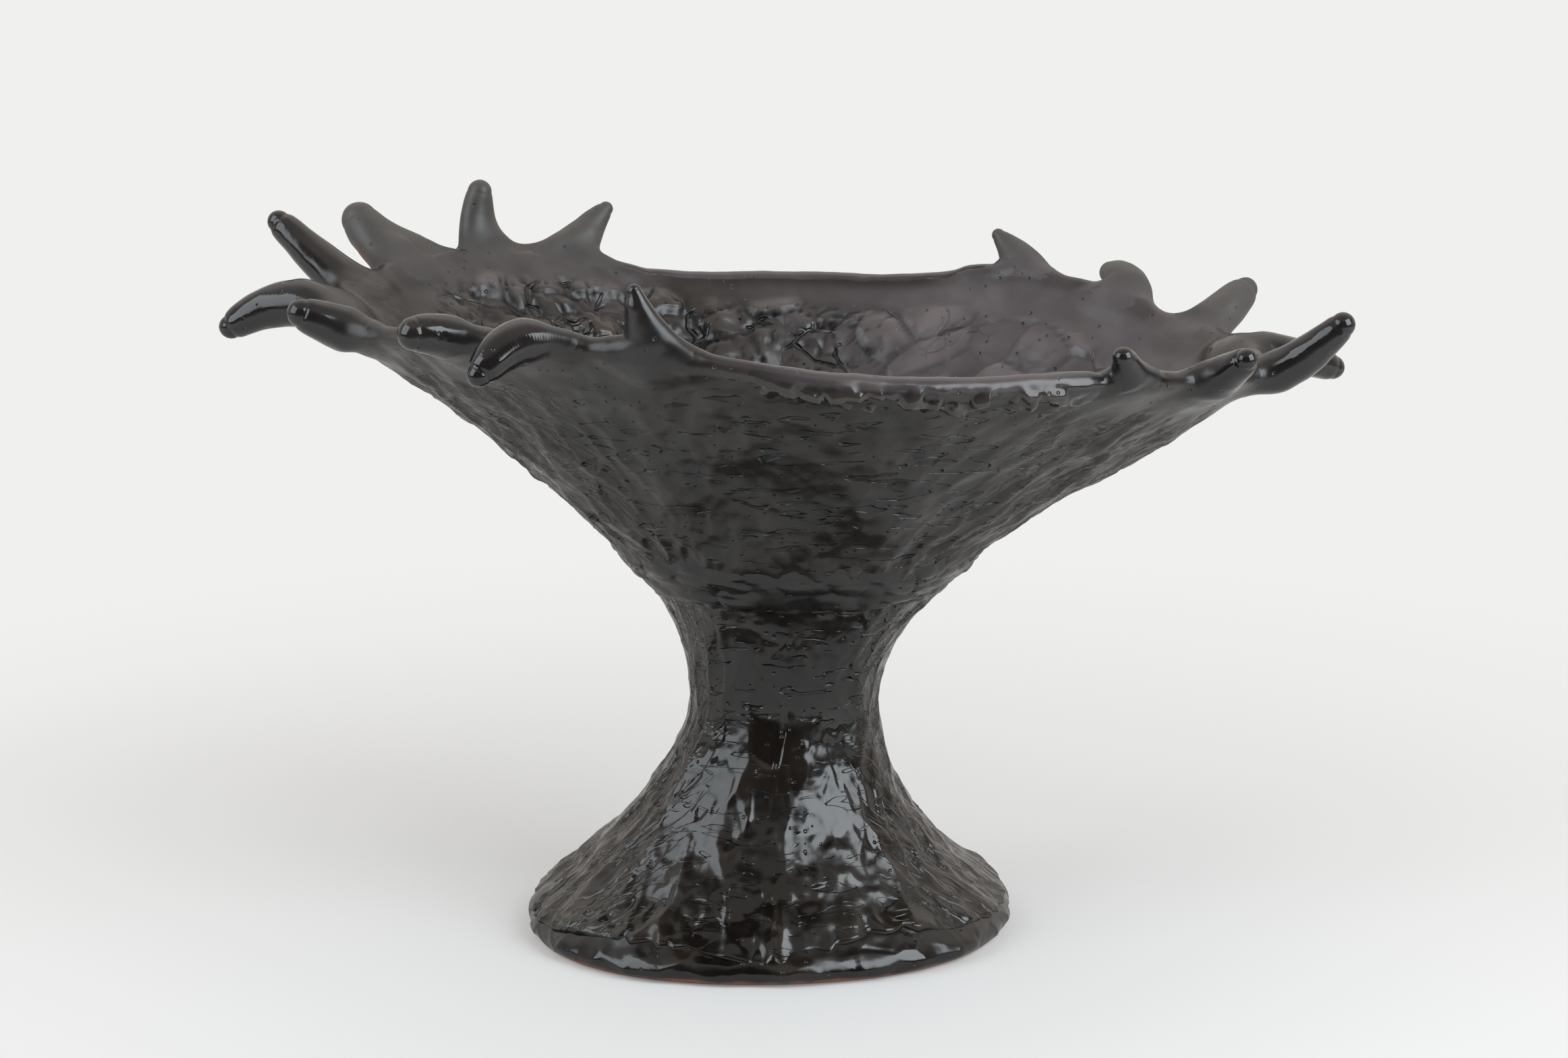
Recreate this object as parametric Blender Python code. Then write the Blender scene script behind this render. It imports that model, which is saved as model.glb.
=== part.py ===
"""A hand-built stoneware bowl on a hollow foot, with horns luted round its rim.

X runs along the bowl, Y from front to back, Z is up. Sizes are in millimetres and turn into
metres where a mesh is made. Angles run round the rim in degrees: 0 is the right end, 90 the
back. Each piece is a separate body, kept a clearance away from the pieces it is luted to.
"""

import math

import bmesh
import bpy
import numpy as np

MILLIMETRE = 0.001
CLEARANCE = 0.3

# The neck's axis, measured from the middle of the bowl's whole length and depth.
AXIS_X = -2.6
AXIS_Y = 0.0

# The rim's outer edge: an oval, higher at the left end than at the right.
RIM_OFFSET = 5.0
RIM_HALF_LENGTH = 194.0
RIM_HALF_DEPTH = 137.0
RIM_HEIGHTS = (240, 240.6, 242, 253, 256, 250.8, 251.2, 252.2, 258, 266, 267, 265,
               263, 260.6, 262, 264.5, 267.5, 265, 256.5, 252, 251, 248.8, 243.5, 240)

# The bowl's wall, from the joint with the neck up to the rim. The belly is how far the wall
# hangs out (or is drawn in, below 0) halfway up, and the curl how much more it does so low down
# than high up. Each differs by its tilt at the two ends: more at the right, less at the left.
WALL = 9.0
BELLY = -0.19
BELLY_TILT = 0.06
CURL = -0.115
CURL_TILT = -0.21
JOINT_HEIGHT = 155.0
JOINT_HALF_LENGTH = 67.9
JOINT_HALF_DEPTH = 57.7
JOINT_OFFSET = 7.0
UNDERSIDE_LIFT = 1.0
FLOOR_THICKNESS = 16.0
FLOOR_RISE = 0.13
FLOOR_SHARE = 0.7
BOWL_SEGMENTS = 96

# Broad hollows that the fingers left in the wall, between two shares of its rise: about how far
# apart they are, how deep inside, and how far the wall swells or sinks outside.
PRESS_SPACING = 36.0
PRESS_INSIDE = 3.0
PRESS_OUTSIDE = 1.4
PRESS_FROM = (0.065, 0.3)
PRESS_TO = (0.86, 0.6)

# The hollow pedestal: waist, flare to the foot, and the hollow inside it. The flare leans to the
# left of the waist down to LEAN_HEIGHT. Its ovals grow deeper, squarer and turn a little, left
# end towards the front, on the way down to the foot.
WAIST_HEIGHT = 98.0
WAIST_RADIUS = 40.4
FOOT_RADIUS = 101.0
FOOT_TOP = 10.0
FOOT_OFFSET = -6.1
LEAN_HEIGHT = 40.0
FOOT_FLARE = 1.8
DEPTH_RATIO = 0.85
FOOT_DEPTH_RATIO = 0.885
FOOT_TURN = 0.041
FOOT_FORWARD = 1.3
FOOT_SQUARE = 0.038
SQUARE_HEIGHT = 60.0
HOLLOW_WAIST = 31.0
HOLLOW_FOOT = 86.0
HOLLOW_TOP = 40.0
PEDESTAL_SEGMENTS = 56

# The coil round the foot's edge, with the pedestal's edge let into it. Its section is a row
# of points: how far out from the seat, how high as a share of the coil, how much it waves.
SEAT_HEIGHT = 5.0
SEAT_RADIUS = 95.5
COIL_OUT = 8.5
COIL_HEIGHT = 15.6
COIL_WAVE = 0.9
COIL_SECTION = ((0.24, 0.0, 0), (0.9, 0.17, 1), (1.0, 0.42, 1), (0.7, 0.7, 1), (0.3, 0.95, 1))

# The coil pressed into the groove between the neck and the bowl.
GROOVE_DEPTH = 10.0
GROOVE_RISE = 0.065
GROOVE_DROP = 6.4
COLLAR_BULGE = 0.8

# The lip coils at the front and at the back, where the rim has no horns.
LIP_HEIGHT = 5.0
LIP_OVERHANG = 0.7
LIP_STATIONS = 22
LIP_END_GAP = 0.8

HORN_SEGMENTS = 12
HORN_RINGS = 7
SIDE_SHARE = 0.3
ROOT_FLARE = 0.25

# One row a horn, counted round the rim from the right end: angle; how far the root is sunk
# below the lip's middle; the tip's place from the root, outwards, along the rim and upwards;
# how far the horn first follows the wall; how far it first leans out; half width along the
# rim and half thickness across it at the root; radius of the tip; power of the taper.
HORNS = (
    (9, 3, 46, 6, -8, 6, 8, 10.5, 10.0, 5.2, 0.5),
    (26, 2, 35, 2, 17, 9, 6, 11.5, 10.0, 5.6, 0.45),
    (41, 0, 26, 16, 8.5, 13, 4, 10.5, 9.0, 5.2, 0.6),
    (57, -2, 6, 18, 17, 6, 0, 13.0, 7.8, 3.0, 0.8),
    (121, -2, 8, -22, 25, 14, 0, 12.5, 7.8, 3.2, 0.7),
    (134, -2, 8, 0, 30, 14, 0, 13.0, 8.0, 5.2, 0.75),
    (150, 0, 28, 4, 20, 12, 4, 13.0, 9.5, 7.8, 0.6),
    (166, 3, 37, 6, 29, 6, 4, 12.0, 10.0, 4.8, 0.45),
    (183, 3, 46, 0, -6, 20, 4, 12.0, 11.5, 5.0, 0.5),
    (203, 4, 25, -8, 11, 7, 4, 11.5, 10.5, 5.6, 0.5),
    (228, 2, 21, -12.6, 7, 10, 4, 11.5, 9.5, 6.4, 0.6),
    (239, 1, 27, -14, -7.5, 11, 4, 12.0, 10.5, 4.8, 0.45),
    (253.5, -2, 5, -6, 24.5, 7, -2, 13.0, 7.8, 2.6, 0.85),
    (312, -2, 8, -8, 11, 5, 0, 9.0, 7.6, 4.0, 0.8),
    (328, 3, 27, -2, 15, 8, 6, 10.5, 9.5, 4.4, 0.5),
    (349, 3, 39, -4, 24, 0, 16, 10.5, 10.0, 5.2, 0.5),
)


def turn(count):
    """Evenly spaced angles once round, in radians."""
    return np.arange(count) * (2 * math.pi / count)


def smooth_cycle(values, angles):
    """A smooth closed curve through evenly spaced values."""
    table = np.array(values, float)
    count = len(table)
    place = np.asarray(angles, float) / (2 * math.pi) * count % count
    left = np.floor(place).astype(int)
    part = place - left
    before, start, end, after = (table[(left + step) % count] for step in (-1, 0, 1, 2))
    bend = 2 * before - 5 * start + 4 * end - after
    twist = 3 * (start - end) + after - before
    return start + part / 2 * (end - before + part * (bend + part * twist))


def stack(x, y, z):
    x, y, z = np.broadcast_arrays(np.asarray(x, float), y, z)
    return np.stack([x, y, z], -1)


def unit(vectors):
    return vectors / np.linalg.norm(vectors, axis=-1, keepdims=True)


def ease(low, high, value):
    share = np.clip((value - low) / (high - low), 0, 1)
    return share * share * (3 - 2 * share)


def scattered(seed, *whole):
    """Even random numbers from 0 to 1, always the same for the same whole numbers and seed."""
    mixed = np.uint64(seed * 2654435761 % 4294967296)
    for part in whole:
        mixed = (mixed ^ (np.asarray(part, np.int64) & 0xFFFFFFFF).astype(np.uint64)) * np.uint64(2246822519)
        mixed = (mixed ^ (mixed >> np.uint64(15))) & np.uint64(0xFFFFFFFF)
    mixed = (mixed * np.uint64(3266489917)) & np.uint64(0xFFFFFFFF)
    return (mixed ^ (mixed >> np.uint64(16))).astype(float) / 4294967296


def swell(points, size, seed):
    """Soft lumps of about that size, from -1 to 1: each corner of a cube lattice holds a random
    slope, and a point blends the eight slopes round it."""
    place = np.asarray(points, float) / size
    low = np.floor(place).astype(np.int64)
    part = place - low
    near = part ** 3 * (part * (part * 6 - 15) + 10)
    total = 0.0
    for corner in np.ndindex(2, 2, 2):
        at = low + corner
        share = np.prod(np.where(corner, near, 1 - near), axis=-1)
        for axis in range(3):
            slope = 2 * scattered(seed + 31 * axis, at[..., 0], at[..., 1], at[..., 2]) - 1
            total = total + share * slope * (part[..., axis] - corner[axis])
    return 1.5 * total


def wall_outside(angles, rise):
    """The wall's outer face; rise is 0 at the joint with the neck and 1 at the rim."""
    cos, sin = np.cos(angles), np.sin(angles)
    belly, curl = BELLY + BELLY_TILT * cos, CURL + CURL_TILT * cos
    spread = rise + rise * (1 - rise) * (belly + curl * (1 - 2 * rise))
    half_length = JOINT_HALF_LENGTH + (RIM_HALF_LENGTH - JOINT_HALF_LENGTH) * spread
    half_depth = JOINT_HALF_DEPTH + (RIM_HALF_DEPTH - JOINT_HALF_DEPTH) * spread
    height = JOINT_HEIGHT + (smooth_cycle(RIM_HEIGHTS, angles) - JOINT_HEIGHT) * rise
    middle = JOINT_OFFSET + (RIM_OFFSET - JOINT_OFFSET) * rise
    return stack(middle + half_length * cos, half_depth * sin, height)


def wall_normal(angles, rise):
    step = 1e-3
    round_it = wall_outside(angles + step, rise) - wall_outside(angles - step, rise)
    up_it = wall_outside(angles, rise) - wall_outside(angles, rise - step)
    return unit(np.cross(round_it, up_it))


def pressed_wall(angles, rise, inside, grow):
    """The wall's outer or inner face with its broad hollows, grown by that much."""
    smooth, normal = wall_outside(angles, rise), wall_normal(angles, rise)
    free = ease(*PRESS_FROM, rise) * ease(*PRESS_TO, rise)
    if inside:
        smooth = smooth - normal * WALL
        depth = free * PRESS_INSIDE * np.clip(0.5 + 1.5 * swell(smooth, PRESS_SPACING, 88), 0, 1)
        return smooth + normal * (depth - grow)[..., None]
    lump = free * PRESS_OUTSIDE * np.clip(2.2 * swell(smooth, PRESS_SPACING, 77), -1, 1)
    return smooth + normal * (lump + grow)[..., None]


def wall_slope(angles):
    """The way up the wall at the rim."""
    return unit(wall_outside(angles, 1.0) - wall_outside(angles, 0.99))


def lip_middle(angles):
    return wall_outside(angles, 1.0) - wall_normal(angles, 1.0) * (WALL / 2)


def lip_roundness(angles):
    """1 where the wall's own edge is rounded, 0 where a lip coil sits on it."""
    degrees = np.degrees(angles) % 360
    back = (degrees > HORNS[3][0]) & (degrees < HORNS[4][0])
    front = (degrees > HORNS[12][0]) & (degrees < HORNS[13][0])
    return np.where(back | front, 0.0, 1.0)


def stem_radius(height):
    """Half length of the pedestal's outside at a height."""
    below = np.clip(WAIST_HEIGHT - height, 0, None) / (WAIST_HEIGHT - FOOT_TOP)
    above = np.clip(height - WAIST_HEIGHT, 0, None) / (JOINT_HEIGHT - WAIST_HEIGHT)
    radius = WAIST_RADIUS + (FOOT_RADIUS - WAIST_RADIUS) * below ** FOOT_FLARE
    return np.minimum(radius + (JOINT_HALF_LENGTH - WAIST_RADIUS) * above ** 2, FOOT_RADIUS)


def hollow_radius(height):
    below = np.clip(WAIST_HEIGHT - height, 0, None) / (WAIST_HEIGHT - SEAT_HEIGHT)
    above = np.clip(height - WAIST_HEIGHT, 0, None) / (JOINT_HEIGHT - WAIST_HEIGHT)
    radius = HOLLOW_WAIST + (HOLLOW_FOOT - HOLLOW_WAIST) * below ** FOOT_FLARE
    return radius + (HOLLOW_TOP - HOLLOW_WAIST) * above ** 2


def stem_middle(height):
    fall = np.clip((WAIST_HEIGHT - height) / (WAIST_HEIGHT - LEAN_HEIGHT), 0, 1)
    climb = np.clip(height - WAIST_HEIGHT, 0, None) / (JOINT_HEIGHT - WAIST_HEIGHT)
    return FOOT_OFFSET * fall * fall * (3 - 2 * fall) + JOINT_OFFSET * climb ** 1.5


def stem_ring(angles, radius, height):
    """One oval of the pedestal at a height."""
    low = np.clip(1 - height / WAIST_HEIGHT, 0, 1)
    squared = FOOT_SQUARE * np.clip(1 - height / SQUARE_HEIGHT, 0, 1) * np.sin(2 * angles) ** 2
    radius = radius * (1 + squared)
    ratio = DEPTH_RATIO + (FOOT_DEPTH_RATIO - DEPTH_RATIO) * low
    x = stem_middle(height) + radius * np.cos(angles)
    y = ratio * radius * np.sin(angles) + low * (FOOT_TURN * x - FOOT_FORWARD)
    return stack(x, y, height)


def clear_scene():
    for item in list(bpy.data.objects):
        bpy.data.objects.remove(item)


def glaze(name, colour, roughness):
    material = bpy.data.materials.new(name)
    material.use_nodes = True
    shader = material.node_tree.nodes["Principled BSDF"]
    shader.inputs["Base Color"].default_value = (*colour, 1.0)
    shader.inputs["Roughness"].default_value = roughness
    shader.inputs["Metallic"].default_value = 0.0
    return material


def add_body(name, rings, material, hoop=False):
    """A closed body through rings of points: hoop joins the last ring to the first one."""
    body = bmesh.new()
    grid = []
    for ring in rings:
        points = (np.asarray(ring, float) + (AXIS_X, AXIS_Y, 0)) * MILLIMETRE
        grid.append([body.verts.new(point) for point in points])
    count = len(grid[0])
    pairs = list(zip(grid, grid[1:]))
    if hoop:
        pairs.append((grid[-1], grid[0]))
    for low, high in pairs:
        for this in range(count):
            after = (this + 1) % count
            body.faces.new((low[this], low[after], high[after]))
            body.faces.new((low[this], high[after], high[this]))
    if not hoop:
        for ring, reverse in ((grid[0], True), (grid[-1], False)):
            middle = body.verts.new(sum((v.co for v in ring), ring[0].co * 0) / count)
            for this in range(count):
                edge = (ring[this], ring[(this + 1) % count])
                body.faces.new((middle, *(reversed(edge) if reverse else edge)))
    bmesh.ops.recalc_face_normals(body, faces=body.faces)
    mesh = bpy.data.meshes.new(name)
    body.to_mesh(mesh)
    body.free()
    mesh.materials.append(material)
    item = bpy.data.objects.new(name, mesh)
    bpy.context.scene.collection.objects.link(item)
    mesh.shade_smooth()
    mesh.set_sharp_from_angle(angle=math.radians(40))
    return item


def hide(item):
    item.hide_render = True
    item.display_type = "WIRE"


def cut(item, cutter):
    modifier = item.modifiers.new("cut_by_" + cutter.name, "BOOLEAN")
    modifier.operation = "DIFFERENCE"
    modifier.solver = "EXACT"
    modifier.object = cutter


def bowl_rings(grow=0.0, rounded=None):
    """The bowl's shell, from the middle of its underside over the rim to its floor."""
    angles = turn(BOWL_SEGMENTS)
    if rounded is None:
        rounded = lip_roundness(angles)
    half = WALL / 2
    groove = 1 - GROOVE_DEPTH / JOINT_HALF_LENGTH
    joint = wall_outside(angles, 0.0)
    rings = []
    rings.append(stack(JOINT_OFFSET + (joint[:, 0] - JOINT_OFFSET) * groove,
                       joint[:, 1] * groove, JOINT_HEIGHT + UNDERSIDE_LIFT - grow))
    for rise in (GROOVE_RISE, 0.18, 0.3, 0.42, 0.54, 0.66, 0.78, 0.9, 1.0):
        rings.append(pressed_wall(angles, rise, False, grow))
    middle = lip_middle(angles)
    normal = wall_normal(angles, 1.0)
    slope = wall_slope(angles)
    for tilt in (45, 90, 135):
        sideways = math.cos(math.radians(tilt)) * (half + grow)
        if tilt != 90:
            sideways = sideways / 0.7071 * (0.7071 + 0.22 * (1 - rounded))
        upwards = math.sin(math.radians(tilt)) * half * rounded + grow
        rings.append(middle + normal * np.reshape(sideways, (-1, 1))
                     + slope * np.reshape(upwards, (-1, 1)))
    for rise in (1.0, 0.89, 0.77, 0.65, 0.53, 0.41, 0.27, FLOOR_RISE):
        rings.append(pressed_wall(angles, rise, True, grow))
    rim_of_floor = rings[-1]
    floor_height = JOINT_HEIGHT + UNDERSIDE_LIFT + FLOOR_THICKNESS
    rings.append(stack(JOINT_OFFSET + (rim_of_floor[:, 0] - JOINT_OFFSET) * FLOOR_SHARE,
                       rim_of_floor[:, 1] * FLOOR_SHARE, floor_height + grow))
    return rings


def pedestal_rings():
    """Up the outside from the seat to the groove, over the top and down the hollow."""
    angles = turn(PEDESTAL_SEGMENTS)
    flare_top = COIL_HEIGHT + 1
    groove_foot = JOINT_HEIGHT - GROOVE_DROP
    outside = [flare_top + share * (WAIST_HEIGHT - flare_top)
               for share in (0, 0.055, 0.14, 0.25, 0.4, 0.58, 0.78, 1)]
    outside += [WAIST_HEIGHT + share * (groove_foot - WAIST_HEIGHT)
                for share in (0.28, 0.54, 0.77, 1)]
    rings = [stem_ring(angles, SEAT_RADIUS, SEAT_HEIGHT)]
    for height in outside:
        rings.append(stem_ring(angles, min(float(stem_radius(height)), SEAT_RADIUS), height))
    top = JOINT_HEIGHT + UNDERSIDE_LIFT - CLEARANCE
    rings.append(stem_ring(angles, JOINT_HALF_LENGTH - GROOVE_DEPTH, top))
    inside = [WAIST_HEIGHT + share * (top - WAIST_HEIGHT) for share in (1, 0.5, 0)]
    inside += [SEAT_HEIGHT + share * (WAIST_HEIGHT - SEAT_HEIGHT) for share in (0.75, 0.5, 0.25, 0)]
    for height in inside:
        rings.append(stem_ring(angles, float(hollow_radius(height)), height))
    return rings


def foot_ring_rings():
    """The coil's section swept round the foot's oval, with the seat cut into its inner side."""
    angles = turn(PEDESTAL_SEGMENTS)
    wave = COIL_WAVE * (0.6 * np.sin(5 * angles + 1) + 0.4 * np.sin(11 * angles))
    inner = HOLLOW_FOOT + 0.5
    seat_side = SEAT_RADIUS + CLEARANCE + 0.1
    seat_floor = SEAT_HEIGHT - CLEARANCE
    rings = [stem_ring(angles, inner, 0)]
    for out, high, moves in COIL_SECTION:
        lift = 0.5 * wave if high > 0.6 else 0.0
        radius = SEAT_RADIUS + COIL_OUT * out + moves * wave
        rings.append(stem_ring(angles, radius, COIL_HEIGHT * high + lift))
    rings.append(stem_ring(angles, seat_side, COIL_HEIGHT))
    rings.append(stem_ring(angles, seat_side, seat_floor))
    rings.append(stem_ring(angles, inner, seat_floor))
    return rings


def neck_collar_rings():
    """The groove's three corners, with the coil's outer face bulging a little."""
    angles = turn(PEDESTAL_SEGMENTS)
    gap = CLEARANCE + 0.15
    groove_foot = JOINT_HEIGHT - GROOVE_DROP + gap
    tip_height = JOINT_HEIGHT + UNDERSIDE_LIFT - CLEARANCE / 2
    tip = stem_ring(angles, JOINT_HALF_LENGTH - GROOVE_DEPTH + 4 * CLEARANCE, tip_height)
    low = stem_ring(angles, float(stem_radius(groove_foot)), groove_foot)
    high = wall_outside(angles, GROOVE_RISE) - (0, 0, gap)
    outwards = stack(np.cos(angles), np.sin(angles), 0) * COLLAR_BULGE
    return [tip, low, low * 0.65 + high * 0.35 + outwards,
            low * 0.3 + high * 0.7 + outwards, high]


def lip_coil_rings(start, end):
    """A half-round coil lying on the wall's edge, between two horns."""
    angles = np.radians(np.linspace(start, end, LIP_STATIONS))
    middle = lip_middle(angles)
    normal = wall_normal(angles, 1.0)
    slope = wall_slope(angles)
    half = WALL / 2 + LIP_OVERHANG
    rings = []
    for index in range(LIP_STATIONS):
        ring = []
        for tilt in np.radians((0, 30, 60, 90, 120, 150, 180)):
            ring.append(middle[index] + normal[index] * half * math.cos(tilt)
                        + slope[index] * (CLEARANCE + LIP_HEIGHT * math.sin(tilt)))
        ring.append(middle[index] + slope[index] * CLEARANCE)
        rings.append(ring)
    return rings


def horn_rings(row, grow=0.0):
    """Oval sections square to a curved spine, round at the tip and drawn in at the root."""
    angle, sunk, out, side, rise, follow, lean, wide, thick, tip_radius, power = row
    here = np.array(math.radians(angle))
    outwards = unit(wall_normal(here, 1.0) * (1, 1, 0))
    along = np.array([-outwards[1], outwards[0], 0])
    slope = wall_slope(here)
    root = lip_middle(here) - slope * sunk
    bend = root + slope * follow + outwards * lean + along * side * SIDE_SHARE
    tip = root + outwards * out + along * side + (0, 0, rise)
    places = [(0.0, 0.85, 0.62, -5.0 - grow), (0.0, 1.0 + ROOT_FLARE, 0.92, -2.5)]
    for share in np.linspace(0, 1, HORN_RINGS):
        places.append((share, 1.0 + 0.5 * ROOT_FLARE * (1 - share) ** 6, 1.0, 0.0))
    for tilt in (0.6, 1.15):
        shrink = math.cos(tilt)
        places.append((1.0, shrink, shrink, (tip_radius + grow) * math.sin(tilt)))
    rings = []
    across_before = along
    for share, wide_scale, thin_scale, ahead in places:
        middle = (1 - share) ** 2 * root + 2 * share * (1 - share) * bend + share ** 2 * tip
        forwards = unit((1 - share) * (bend - root) + share * (tip - bend))
        wide_axis = unit(across_before - forwards * (across_before @ forwards))
        across_before = wide_axis
        thin_axis = np.cross(forwards, wide_axis)
        taper = (1 - share) ** power
        half_wide = (tip_radius + (wide - tip_radius) * taper) * wide_scale + grow
        half_thin = (tip_radius + (thick - tip_radius) * taper) * thin_scale + grow
        spin = turn(HORN_SEGMENTS)[:, None]
        rings.append(middle + forwards * ahead + wide_axis * half_wide * np.cos(spin)
                     + thin_axis * half_thin * np.sin(spin))
    return rings


clear_scene()
black = glaze("black_glaze", (0.028, 0.026, 0.027), 0.14)
inside = glaze("bowl_glaze", (0.034, 0.030, 0.030), 0.2)
seam = glaze("seam_glaze", (0.016, 0.015, 0.015), 0.3)
tip_glaze = glaze("horn_glaze", (0.024, 0.021, 0.023), 0.1)
edge = glaze("foot_glaze", (0.05, 0.036, 0.028), 0.35)

add_body("pedestal", pedestal_rings(), black, hoop=True)
add_body("foot_ring", foot_ring_rings(), edge, hoop=True)
add_body("neck_collar", neck_collar_rings(), seam, hoop=True)
add_body("bowl", bowl_rings(), inside)

wall_cutter = add_body("wall_cutter", bowl_rings(CLEARANCE), inside)
hide(wall_cutter)

horn_cutters = {}
for number, row in enumerate(HORNS, 1):
    name = f"horn_{number:02d}"
    cut(add_body(name, horn_rings(row), tip_glaze), wall_cutter)
    if number in (4, 5, 13, 14):
        horn_cutters[number] = add_body(name + "_cutter", horn_rings(row, LIP_END_GAP), tip_glaze)
        hide(horn_cutters[number])

for name, first, last in (("rim_coil_back", 4, 5), ("rim_coil_front", 13, 14)):
    coil = add_body(name, lip_coil_rings(HORNS[first - 1][0] + 1, HORNS[last - 1][0] - 1), black)
    cut(coil, horn_cutters[first])
    cut(coil, horn_cutters[last])
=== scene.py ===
"""A hand-built stoneware bowl on a hollow pedestal, with horns round its rim, all black glazed.

Shapes are worked out in millimetres from the neck's foot: X along the bowl, Y to the back, Z up.
Angles go round from the right end. Each skin is a grid of points: rows lie one above the other,
and the points of a row go once round the piece.
"""

import math

import bpy
import numpy as np
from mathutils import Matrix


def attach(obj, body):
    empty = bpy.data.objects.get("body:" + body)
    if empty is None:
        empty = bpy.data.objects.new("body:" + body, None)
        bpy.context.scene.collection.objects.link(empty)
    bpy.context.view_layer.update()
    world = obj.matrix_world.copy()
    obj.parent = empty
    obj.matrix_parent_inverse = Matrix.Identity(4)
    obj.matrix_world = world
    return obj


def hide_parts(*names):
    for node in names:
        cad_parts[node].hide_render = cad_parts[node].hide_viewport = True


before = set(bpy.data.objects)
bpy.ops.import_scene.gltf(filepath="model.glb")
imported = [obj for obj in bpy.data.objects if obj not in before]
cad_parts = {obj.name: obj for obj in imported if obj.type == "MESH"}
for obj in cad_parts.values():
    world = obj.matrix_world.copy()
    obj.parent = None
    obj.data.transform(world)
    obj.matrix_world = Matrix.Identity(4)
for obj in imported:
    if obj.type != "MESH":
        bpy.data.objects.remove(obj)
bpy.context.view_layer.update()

# The pedestal: a hollow stem of brown stoneware, built up from coils, pinched thin at the waist
# and pulled out to a wide foot. Finger marks run down the flare and end in pressed lobes that
# hang over the coil under the foot's edge.
NECK_FOOT = np.array((-2.6, 0.0, 0.0))
WAIST_HEIGHT, WAIST_RADIUS = 98.0, 40.4
FOOT_RADIUS, FOOT_TOP, FOOT_FLARE, FOOT_OFFSET, LEAN_HEIGHT = 101.0, 10.0, 1.8, -6.1, 40.0
DEPTH_RATIO, FOOT_DEPTH_RATIO, FOOT_TURN, FOOT_FORWARD = 0.85, 0.885, 0.041, 1.3
FOOT_SQUARE, SQUARE_HEIGHT = 0.038, 60.0
JOINT_HEIGHT, JOINT_HALF_LENGTH, JOINT_OFFSET = 155.0, 67.9, 7.0
LEDGE_HEIGHT, LEDGE_PROUD, LEDGE_LOBES, LOBE_MIDDLE = 13.0, 1.2, 43, 0.45
LEDGE_HEIGHTS = (10, 12, 13, 13, 13, 12, 10, 11.5, 15, 11.5, 17.5, 13)
CURL_IN, CURL_DOWN, CURL_TURNS = 1.7, 1.3, (0.5, 1.0, 1.5)
SEAT_RADIUS, SEAT_HEIGHTS, GROOVE_DROP, TOP_RISE, TOP_INSET = 92.5, (5.0, 9.0), 6.4, 0.7, 10.0
HOLLOW_WAIST, HOLLOW_FOOT, HOLLOW_TOP, HOLLOW_LOW = 31.0, 86.0, 40.0, 5.0
PEDESTAL_COLUMNS, FLARE_ROWS = 480, 152


def ease(low, high, value):
    """0 below low, 1 above high, and a cubic ease between them."""
    share = np.clip((value - low) / (high - low), 0, 1)
    return share * share * (3 - 2 * share)


def scattered(seed, *whole):
    """Even random numbers from 0 to 1, the same for the same whole numbers and seed: these are
    multiplied by large odd numbers, and the high bits folded onto the low ones."""
    span = 2 ** 32
    mixed = np.uint64(seed * 2654435761 % span)
    for part in whole:
        bits = (np.asarray(part, np.int64) & (span - 1)).astype(np.uint64)
        mixed = (mixed ^ bits) * np.uint64(2246822519)
        mixed = (mixed ^ (mixed >> np.uint64(15))) & np.uint64(span - 1)
    mixed = (mixed * np.uint64(3266489917)) & np.uint64(span - 1)
    return (mixed ^ (mixed >> np.uint64(16))).astype(float) / span


def swell(points, size, seed):
    """Soft lumps of about that size, from -1 to 1: each corner of a cube lattice holds a random
    slope, and a point blends the eight slopes round it with a quintic ease."""
    place = np.asarray(points, float) / size
    low = np.floor(place).astype(np.int64)
    part = place - low
    near = part ** 3 * (part * (part * 6 - 15) + 10)
    total = 0.0
    for corner in np.ndindex(2, 2, 2):
        at = low + corner
        share = np.prod(np.where(corner, near, 1 - near), axis=-1)
        for axis in range(3):
            slope = 2 * scattered(seed + 31 * axis, at[..., 0], at[..., 1], at[..., 2]) - 1
            total = total + share * slope * (part[..., axis] - corner[axis])
    return 1.5 * total


def all_round(columns):
    """Even angles once round a piece."""
    return np.arange(columns) * 2 * math.pi / columns


def run_down(skin):
    """How far each point of a skin is from its first row, along its column."""
    return np.linalg.norm(np.diff(skin, axis=0, prepend=skin[:1]), axis=-1).cumsum(0)


def finger_marks(skin, wide, long, seed, slant=0.0, sway=0.0):
    """Marks laid in rows across a skin, with jittered middles. Gives each point's distance to the
    nearest middle and the next one, in mark sizes, and two numbers of the nearest mark."""
    step = np.linalg.norm(np.roll(skin, -1, 1) - skin, axis=-1)
    run = run_down(skin)
    columns = skin.shape[1]
    turn = np.arange(columns) / columns
    nearest = np.full(run.shape, 9.0)
    second = nearest.copy()
    numbers = np.zeros((2, *run.shape))
    waved = run + sway * swell(skin, 2.2 * wide, seed + 7)
    for up in (-1, 0, 1):
        row = np.floor(waved / long) + up
        count = np.maximum(np.round(np.interp((row + 0.5) * long, run.mean(1), step.sum(1)) / wide), 5)
        place = turn * count + 0.5 * (row % 2) + sway / wide * swell(skin, 2.0 * wide, seed + 9)
        for side in (-1, 0, 1):
            column = np.floor(place) + side
            owner = np.mod(column, count)
            away = (place - column - 0.1 - 0.8 * scattered(seed, owner, row)) * step * columns / count
            down = waved - (row + 0.1 + 0.8 * scattered(seed + 1, owner, row)) * long
            gap = np.hypot((away + slant * down) / wide, down / long)
            closer = gap < nearest
            second = np.where(closer, nearest, np.minimum(second, gap))
            drawn = [scattered(seed + more, owner, row) for more in (2, 3)]
            numbers = np.where(closer, drawn, numbers)
            nearest = np.where(closer, gap, nearest)
    return nearest, second, *numbers


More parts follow.
